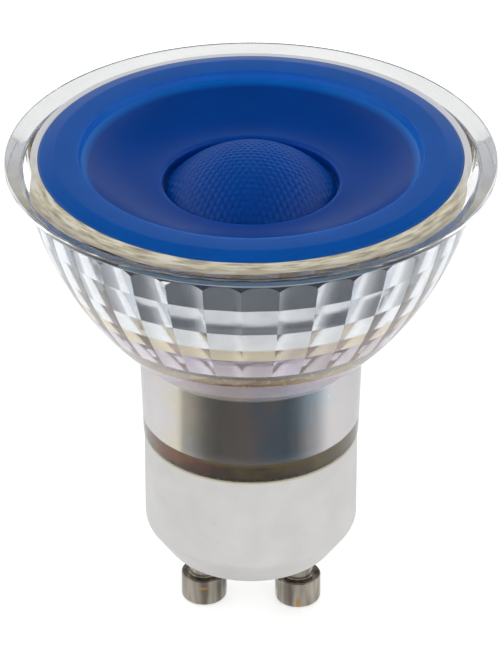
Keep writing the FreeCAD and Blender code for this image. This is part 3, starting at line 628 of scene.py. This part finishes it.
# Front lens: one moulding in blue polycarbonate, a bevelled ring round a dish with a beaded dome in its well.
# Below it a solid collimator reaches down to the light source; the ring is glued into the rim.
LENS_STEPS = 500
LENS_BEVEL_W = 1.65
LENS_BEVEL_H = 0.36
LENS_BEVEL_FOOT_ROUND = 0.3
LENS_BEVEL_TOP_ROUND = 1.2
LENS_RING_IN_R = 17.5
LENS_STEP = 0.8
LENS_STEP_ROUND = 0.12
LENS_DRAFT = 0.3
LENS_WALL = 1.5
LENS_SHOULDER_R = 20.95
LENS_SHOULDER_H = 1.6
LENS_SHOULDER_ROUND = 0.15
LENS_EDGE_ROUND = 0.1
LENS_EDGE_BITES = 4
Z_FLANGE = 53.05
DISH_ARC = 12.0
WELL_R = 8.9
LIP_DROP = 3.2
LIP_ROUND = 0.45
GROOVE_W = 0.15
GROOVE_DEPTH = 1.2
GROOVE_ROUND = 0.06
DOME_DROP = 0.16
DOME_ROWS = 90
BEAD_PITCH = 0.7
BEAD_ARC = 0.66
BEAD_SINK = 0.06
BEAD_MARGIN = 0.15
BEAD_FADE = 0.3
FLANK_ARC = 24.0
FLANK_FOOT_R = 4.4
CAVITY_R = 3.4
CAVITY_DEPTH = 3.0
CAVITY_ARCH = 1.06
# The ring's own blue lightened by painted backlight, and a painted glow for the step
LENS_RING_PAINTED_BACKLIGHT = (4, 86, 172)
LENS_STEP_PAINTED_GLOW = (0, 112, 205)
LENS_DISH_BLUE = (0, 65, 150)
LENS_WELL_BLUE = (0, 74, 160)
LENS_HAZE = (120, 150, 200)
LENS_DUST = (170, 186, 214)

lens_low, lens_high = in_mm(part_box("front_lens"))
lens_r = lens_high[0]
z_ring = lens_high[2]
z_foot = lens_low[2]
z_step = z_ring - LENS_STEP
z_bevel = z_ring - LENS_BEVEL_H
z_shoulder = Z_FLANGE - LENS_SHOULDER_H
z_lip = z_ring - LIP_DROP
z_groove = z_lip - GROOVE_DEPTH
z_dome = z_ring - DOME_DROP
dome_r = WELL_R - GROOVE_W
dome_arc = (dome_r ** 2 + (z_dome - z_groove) ** 2) / (z_dome - z_groove) / 2
ring_edge = (LENS_RING_IN_R, z_ring)
step_foot = (LENS_RING_IN_R - LENS_DRAFT, z_step)
well_lip = (WELL_R, z_lip)
dish = bow(well_lip, step_foot, DISH_ARC, np.linspace(0.94, 0.1, 24))


def from_axis(tree):
    """Distance from the lamp's axis in millimetres."""
    plan = coords(tree, scale=(1, 1, 1e6))
    return node(tree, "VectorMath", {"Vector": plan}, operation="LENGTH").outputs["Value"]


def bead_height(x, y):
    """Beads in a honeycomb: each point takes the height of a sphere's cap over the nearer of two
    rectangular lattices, spaced one pitch across and root three pitches along, half a cell apart."""
    cell = np.array((BEAD_PITCH, BEAD_PITCH * np.sqrt(3)))
    place = np.stack([x, y], axis=-1)
    offsets = [place - shift - cell * np.round((place - shift) / cell) for shift in (0 * cell, cell / 2)]
    nearest = np.minimum(*[(offset ** 2).sum(axis=-1) for offset in offsets])
    base = np.sqrt(BEAD_ARC ** 2 - BEAD_PITCH ** 2 / 3)
    return np.sqrt(np.maximum(BEAD_ARC ** 2 - nearest, 0)) - base


dome_run = dome_r * np.linspace(1, 0, DOME_ROWS)
dome_line = np.stack([dome_run, z_dome - dome_arc + np.sqrt(dome_arc ** 2 - dome_run ** 2)], axis=-1)
flank_foot = (FLANK_FOOT_R, z_foot)
flank_top = (WELL_R + LENS_WALL, z_lip - LENS_WALL)
under_ring = (LENS_RING_IN_R + LENS_DRAFT, z_shoulder)
shoulder_foot = (LENS_SHOULDER_R, z_shoulder)
ring_foot = (LENS_SHOULDER_R, Z_FLANGE)
ring_side = (lens_r, Z_FLANGE)
bevel_foot = (lens_r, z_bevel)
bevel_top = (lens_r - LENS_BEVEL_W, z_ring)
groove_foot = (WELL_R, z_groove)
cavity_share = np.linspace(0, 1, 9)
cavity_line = np.stack([CAVITY_R * cavity_share,
                        z_foot + CAVITY_DEPTH - CAVITY_ARCH * (1 - cavity_share ** 2)], axis=-1)
lens_profile = np.vstack([
    cavity_line,
    corner_round(cavity_line[-1], (CAVITY_R, z_foot), flank_foot, LENS_EDGE_ROUND, LENS_EDGE_BITES),
    bow(flank_foot, flank_top, FLANK_ARC, np.linspace(0, 1, 10)),
    bow(flank_top, under_ring, DISH_ARC + LENS_WALL, np.linspace(0.1, 1, 8)),
    corner_round(under_ring, shoulder_foot, ring_foot, LENS_SHOULDER_ROUND, LENS_EDGE_BITES),
    corner_round(shoulder_foot, ring_foot, ring_side, LENS_EDGE_ROUND, LENS_EDGE_BITES),
    corner_round(ring_foot, ring_side, bevel_foot, LENS_EDGE_ROUND, LENS_EDGE_BITES),
    corner_round(ring_side, bevel_foot, bevel_top, LENS_BEVEL_FOOT_ROUND),
    corner_round(bevel_foot, bevel_top, ring_edge, LENS_BEVEL_TOP_ROUND),
    corner_round(bevel_top, ring_edge, step_foot, LENS_STEP_ROUND),
    corner_round(ring_edge, step_foot, dish[0], LENS_STEP_ROUND),
    dish,
    corner_round(dish[-1], well_lip, groove_foot, LIP_ROUND),
    corner_round(well_lip, groove_foot, (dome_r, z_groove), GROOVE_ROUND, LENS_EDGE_BITES),
    dome_line,
])
lens_grid = turned_grid(lens_profile, LENS_STEPS)
dome = lens_grid[-len(dome_line):]
dome_reach = np.hypot(dome[..., 0], dome[..., 1])
beaded = np.clip((dome_r - BEAD_MARGIN - dome_reach) / BEAD_FADE, 0, 1)
dome[..., 2] += beaded * (bead_height(dome[..., 0], dome[..., 1]) - BEAD_SINK)
dome[-1] = (0, 0, dome[-1, :, 2].mean())
lens = skin("blue_lens", lens_grid)
finish, tree, shader = new_finish("blue_polycarbonate", Roughness=0.3, Specular_IOR_Level=0.22,
                                  Subsurface_Weight=0.9, Subsurface_Radius=(0.05, 0.6, 1.2),
                                  Subsurface_Scale=3 * MM)
# Painted light: the ring's own blue is lightened by painted backlight, and a band at the step is a painted
# glow of light coming up through the thin plastic.
across = window(tree, from_axis(tree), 0, lens_r)
blue = ramp(tree, across, (0.0, paint(*LENS_WELL_BLUE)), (0.5, paint(*LENS_DISH_BLUE)),
            (0.76, paint(*LENS_DISH_BLUE)), (0.79, paint(*LENS_STEP_PAINTED_GLOW)), (0.804, paint(*LENS_STEP_PAINTED_GLOW)),
            (0.809, paint(*LENS_RING_PAINTED_BACKLIGHT)), (1.0, paint(*LENS_RING_PAINTED_BACKLIGHT)))
clouds = ramp(tree, noise(tree, 6.0), (0.3, grey(0.9)), (0.7, grey(1.0)))
blue = mixed(tree, 1.0, blue, clouds, "MULTIPLY")
dust = window(tree, noise(tree, 0.16, detail=1), 0.79, 0.83)
blue = mixed(tree, sums(tree, "MULTIPLY", dust, 0.35), blue, paint(*LENS_DUST))
below = height_share(tree, Z_FLANGE, Z_FLANGE - 0.2)
hazed = sums(tree, "MULTIPLY", window(tree, across, 0.93, 0.95), below)
blue = mixed(tree, hazed, blue, paint(*LENS_HAZE))
tree.links.new(blue, shader.inputs["Base Color"])
relief(tree, shader, noise(tree, 0.22, detail=5), 0.003)
fit(lens, finish, "blue_lens", "front_lens")

# Lens bond: pale silicone laid in the seat of the rim, squeezed up round the lens as it is pressed in.
# It wets the glass of the seat, comes up to the bevel of the lens, and in front is smeared over the rim;
# at the back, where it is thin, it is painted near white, a painted stand-in for the bright backdrop behind
# it.
BOND_CREAM = (206, 196, 164)
BOND_PALE = (238, 233, 214)
BOND_GREY = (166, 158, 148)
BOND_PAINTED_BACKDROP = (226, 227, 232)
BOND_SEAT_R = 21.49
SMEAR_W = 1.2
SMEAR_SIDE_W = 0.9
SMEAR_T = 0.05
SMEAR_INSET = 0.1
SMEAR_WANDER = 0.3
BOND_TOP_WANDER = 0.06
BOND_STREAKS = 22.0

z_lens_bond = in_mm(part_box("lens_bond"))[1][2]


def bond_grid(turn):
    """Ring of silicone, row by row from under the lens: out along the seat, up its wall, out over the rim
    as a smear that is widest in front, and back to the lens. The smear's width and the height against
    the lens follow the wander."""
    front = np.clip((-np.sin(turn) - 0.2) / 0.3, 0, 1)
    width = (SMEAR_W + SMEAR_SIDE_W * np.abs(np.cos(turn))) * (1 + SMEAR_WANDER * wander(turn, 0.4))
    smear = SEAT_R + SMEAR_INSET + front * width
    top = z_lens_bond - BOND_TOP_WANDER + BOND_TOP_WANDER * wander(turn, 2.2)
    wall = SEAT_R + COAT_SINK
    rows = [(BOND_SEAT_R, z_seat - COAT_SINK), (wall, z_seat - COAT_SINK), (wall, z_rim_top - COAT_SINK),
            (smear, z_rim_top - COAT_SINK), (smear + 0.04, z_rim_top), (smear - 0.02, z_rim_top + SMEAR_T),
            (SEAT_R, z_rim_top + SMEAR_T), (lens_r + 0.02, top), (BOND_SEAT_R, Z_FLANGE - 0.01)]
    return np.array([(radius * np.cos(turn), radius * np.sin(turn), height + 0 * turn)
                     for radius, height in rows]).transpose(0, 2, 1)


finish, tree, shader = new_finish("pale_silicone", Roughness=0.35, Coat_Weight=1.0, Coat_Roughness=0.04)
reach = from_axis(tree)
swirl = node(tree, "TexGradient", {"Vector": coords(tree)}, gradient_type="RADIAL").outputs["Fac"]
swirl = sums(tree, "MULTIPLY", swirl, BOND_STREAKS)
streaked = node(tree, "CombineXYZ", {"X": reach, "Y": swirl}).outputs["Vector"]
streaks = node(tree, "TexNoise", {"Vector": streaked, "Scale": 2.2, "Detail": 5}).outputs["Fac"]
clouds = ramp(tree, streaks, (0.36, paint(*BOND_GREY)), (0.46, paint(*BOND_CREAM)), (0.6, paint(*BOND_PALE)))
thin = sums(tree, "MULTIPLY", window(tree, reach, 22.6, 24.0), 0.65)
clouds = mixed(tree, thin, clouds, paint(*BOND_GREY))
# Painted light: behind the lamp the bead is painted near white, standing for the bright backdrop seen through
# the thin silicone.
behind = window(tree, along(tree, "Y"), -9.0, 1.0)
clouds = mixed(tree, behind, clouds, paint(*BOND_PAINTED_BACKDROP))
tree.links.new(clouds, shader.inputs["Base Color"])
relief(tree, shader, noise(tree, 0.6), 0.06)
bond_turns = np.linspace(0, 2 * np.pi, 360, endpoint=False)
fit(skin("cream_bead", bond_grid(bond_turns), ring=True), finish, "pale_silicone", "lens_bond")

# Studio: a white floor under the lamp, soft lamps overhead, and a camera at the angle of the picture.
# A dark card on the floor in front, which only shows mirrored, stands for the dark side of the room.
FLOOR_SIZE = 3.0
FLOOR_SEEN = 0.6
FLOOR_MIRRORED = 0.28
FLOOR_SIDE_MIRRORED = 0.34
FLOOR_CARD_R = (0.0363, 0.0378, 0.16)
FLOOR_CARD_TURN = (-78, -71, -60, -45, -30, 40, 50, 62, 72, 88)
FLOOR_CARD_SHARE = (0, 0.52, 0.66, 0.92, 1, 1, 0.93, 0.7, 0.56, 0)
FLOOR_CARD_Z = 0.0005
FLOOR_CARD_DARK = (78, 82, 90)
FLOOR_CARD_LIGHT = (84, 87, 96)
FLOOR_CARD_STEPS = 109
CAMERA_DISTANCE = 0.5
CAMERA_PITCH = 30.9
CAMERA_TURN = 2.6
CAMERA_LENS = 268.0
CAMERA_AIM = (-0.0001, 0.0, 0.03367)
# Name, place, aim, size and watts of each lamp
LAMPS = (("key", (-0.35, -0.25, 0.6), (0, 0, 0.03), 0.7, 1.2),
         ("fill", (0.3, -0.5, 0.25), (0, 0, 0.03), 0.6, 0.9),
         ("back", (0.05, 0.5, 0.5), (0, 0, 0.04), 0.7, 1.0))
# Light that runs along inside the glass wall bounces often before it comes out
LIGHT_BOUNCES = {"max_bounces": 32, "glossy_bounces": 24, "transmission_bounces": 24}


def sheet(name, points, finish):
    """Sheet over a grid of metre points, for the stage."""
    count, width = points.shape[:2]
    index = np.arange(count * width).reshape(count, width)
    quads = np.stack([index[:-1, :-1], index[:-1, 1:], index[1:, 1:], index[1:, :-1]], axis=-1)
    mesh = bpy.data.meshes.new(name)
    mesh.from_pydata(points.reshape(-1, 3).tolist(), [], quads.reshape(-1, 4).tolist())
    mesh.materials.append(finish)
    made = bpy.data.objects.new(name, mesh)
    bpy.context.scene.collection.objects.link(made)
    return made


# The floor shines a little by itself: for the camera, which sees it white, and in whatever mirrors it, where
# it is brighter to the left and right of the lamp than in front and behind.
finish, tree, shader = new_finish("white_floor", Base_Color=grey(0.8), Roughness=0.9, Specular_IOR_Level=0.0)
path = node(tree, "LightPath").outputs
mirrored = sums(tree, "MAXIMUM", path["Is Glossy Ray"], path["Is Transmission Ray"])
sideways = sums(tree, "ABSOLUTE", along(tree, "X"))
turned = sums(tree, "ARCTAN2", sideways, sums(tree, "MULTIPLY", along(tree, "Y"), -1.0))
sides = sums(tree, "MULTIPLY", window(tree, turned, 0.6, 1.3), window(tree, turned, 2.6, 1.9))
sides = sums(tree, "MULTIPLY", sides, sums(tree, "MINIMUM", path["Glossy Depth"], 1.0))
mirrored_level = sums(tree, "MULTIPLY_ADD", sides, FLOOR_SIDE_MIRRORED, FLOOR_MIRRORED)
mirrored_share = sums(tree, "MULTIPLY", mirrored, mirrored_level)
seen = sums(tree, "MULTIPLY_ADD", path["Is Camera Ray"], FLOOR_SEEN, mirrored_share)
shader.inputs["Emission Color"].default_value = grey(1.0)
tree.links.new(seen, shader.inputs["Emission Strength"])
span = np.linspace(-FLOOR_SIZE / 2, FLOOR_SIZE / 2, 2)
floor_x, floor_y = np.meshgrid(span, span)
sheet("floor", np.stack([floor_x, floor_y, 0 * floor_x], axis=-1), finish)

# The card is a ring on the floor: radius r at a turn t from the front lies at (r sin t, -r cos t). It fades
# out towards its ends and its inner edge, and only what has been mirrored once sees it.
card_turn = np.linspace(FLOOR_CARD_TURN[0], FLOOR_CARD_TURN[-1], FLOOR_CARD_STEPS)
card_r = np.array(FLOOR_CARD_R)[:, None]
card_points = np.stack([card_r * np.sin(np.radians(card_turn)), -card_r * np.cos(np.radians(card_turn)),
                        FLOOR_CARD_Z + 0 * card_r * card_turn], axis=-1)
card_shares = np.array((0, 1, 1))[:, None] * np.interp(card_turn, FLOOR_CARD_TURN, FLOOR_CARD_SHARE)
finish, tree, shader = new_finish("dark_card", Base_Color=grey(0.0), Specular_IOR_Level=0.0,
                                  Emission_Strength=1.0)
clouds = two_tone(tree, noise(tree, 5.0, detail=2), FLOOR_CARD_DARK, FLOOR_CARD_LIGHT)
tree.links.new(clouds, shader.inputs["Emission Color"])
once = sums(tree, "COMPARE", node(tree, "LightPath").outputs["Glossy Depth"], 1.0, 0.5)
solid = node(tree, "Attribute", attribute_name="share").outputs["Fac"]
tree.links.new(sums(tree, "MULTIPLY", once, solid), shader.inputs["Alpha"])
card = sheet("floor_card", card_points, finish)
card.data.attributes.new("share", "FLOAT", "POINT").data.foreach_set("value", card_shares.ravel())
card.visible_camera = False
card.visible_diffuse = False
card.visible_shadow = False

# Mirrored, the studio is bright low in front and to the sides, dimmer behind, and dark overhead
world = bpy.data.worlds.new("studio")
bpy.context.scene.world = world
world.use_nodes = True
tree = world.node_tree
path = node(tree, "LightPath").outputs
way = node(tree, "SeparateXYZ", {"Vector": node(tree, "TexCoord").outputs["Generated"]}).outputs
front = mixed(tree, window(tree, way["Z"], 0.2, 0.5), grey(0.95), grey(0.02))
back = ramp(tree, way["Z"], (0.0, grey(0.6)), (0.3, grey(0.62)), (0.5, grey(0.34)), (0.66, grey(0.02)))
studio = mixed(tree, window(tree, way["Y"], -0.4, 0.3), front, back)
beside = window(tree, sums(tree, "ABSOLUTE", way["X"]), 0.4, 0.75)
studio = mixed(tree, beside, studio, grey(0.98))
light = mixed(tree, path["Is Glossy Ray"], grey(0.5), studio)
straight = sums(tree, "MAXIMUM", path["Is Camera Ray"], path["Is Transmission Ray"])
light = mixed(tree, straight, light, grey(1.0))
tree.links.new(light, tree.nodes["Background"].inputs["Color"])

for name, place, aim, size, watts in LAMPS:
    lamp = bpy.data.lights.new(name, "AREA")
    lamp.size = size
    lamp.energy = watts
    holder = bpy.data.objects.new(name, lamp)
    holder.location = place
    holder.rotation_euler = (holder.location - Vector(aim)).to_track_quat("Z", "Y").to_euler()
    holder.visible_glossy = False
    bpy.context.scene.collection.objects.link(holder)

pitch, azimuth = np.radians(CAMERA_PITCH), np.radians(CAMERA_TURN)
toward = np.array((np.cos(pitch) * np.sin(azimuth), -np.cos(pitch) * np.cos(azimuth), np.sin(pitch)))
camera = bpy.data.cameras.new("camera")
camera.lens = CAMERA_LENS
camera.clip_start = 0.01
stand = bpy.data.objects.new("camera", camera)
stand.location = np.array(CAMERA_AIM) + CAMERA_DISTANCE * toward
stand.rotation_euler = Euler((np.pi / 2 - pitch, 0, azimuth))
bpy.context.scene.collection.objects.link(stand)
bpy.context.scene.camera = stand
bpy.context.scene.view_settings.view_transform = "Standard"
for limit, bounces in LIGHT_BOUNCES.items():
    setattr(bpy.context.scene.cycles, limit, bounces)
